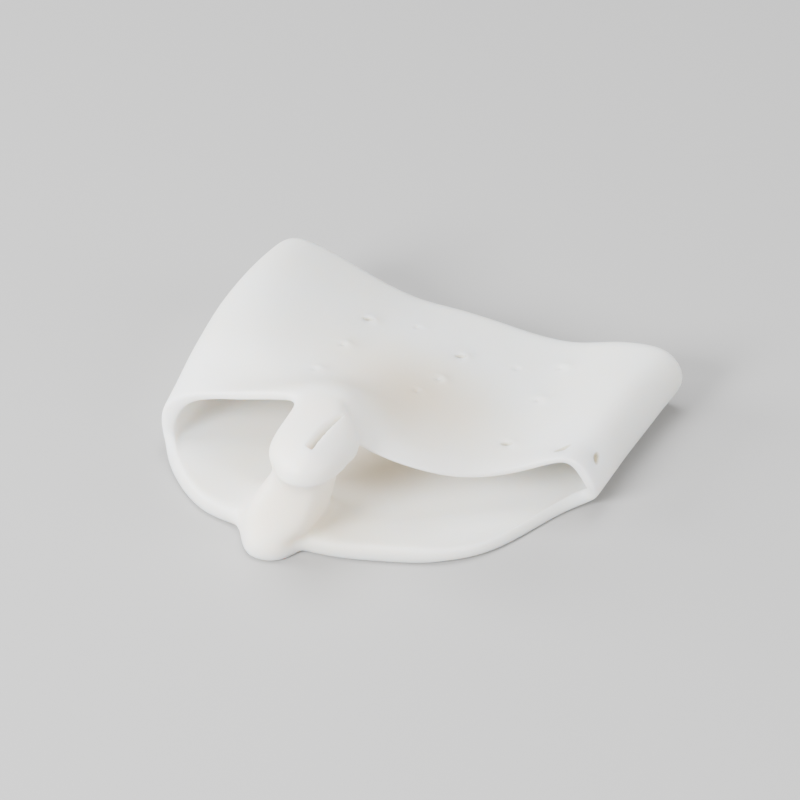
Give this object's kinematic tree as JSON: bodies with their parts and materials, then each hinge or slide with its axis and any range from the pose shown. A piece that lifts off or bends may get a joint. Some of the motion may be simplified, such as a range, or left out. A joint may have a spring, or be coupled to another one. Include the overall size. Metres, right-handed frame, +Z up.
{
  "type": "forefoot sleeve with toe separator",
  "caption": "Soft gel sleeve for the ball of the foot, open front and back, with a slotted post that holds the big toe apart from the other toes.",
  "frame": {"origin": "middle of the bottom of the part's box, on the surface that the sole rests on", "axes": "+X from the big-toe side to the little-toe side, +Y from the toes towards the heel, +Z up"},
  "size_m": [0.091, 0.0834, 0.0277],
  "materials": {
    "milky_silicone_gel": "milky, slightly translucent soft gel with a smooth satin moulded surface"
  },
  "bodies": {
    "root": {"forefoot_sleeve": "milky_silicone_gel"}
  },
  "joints": []
}
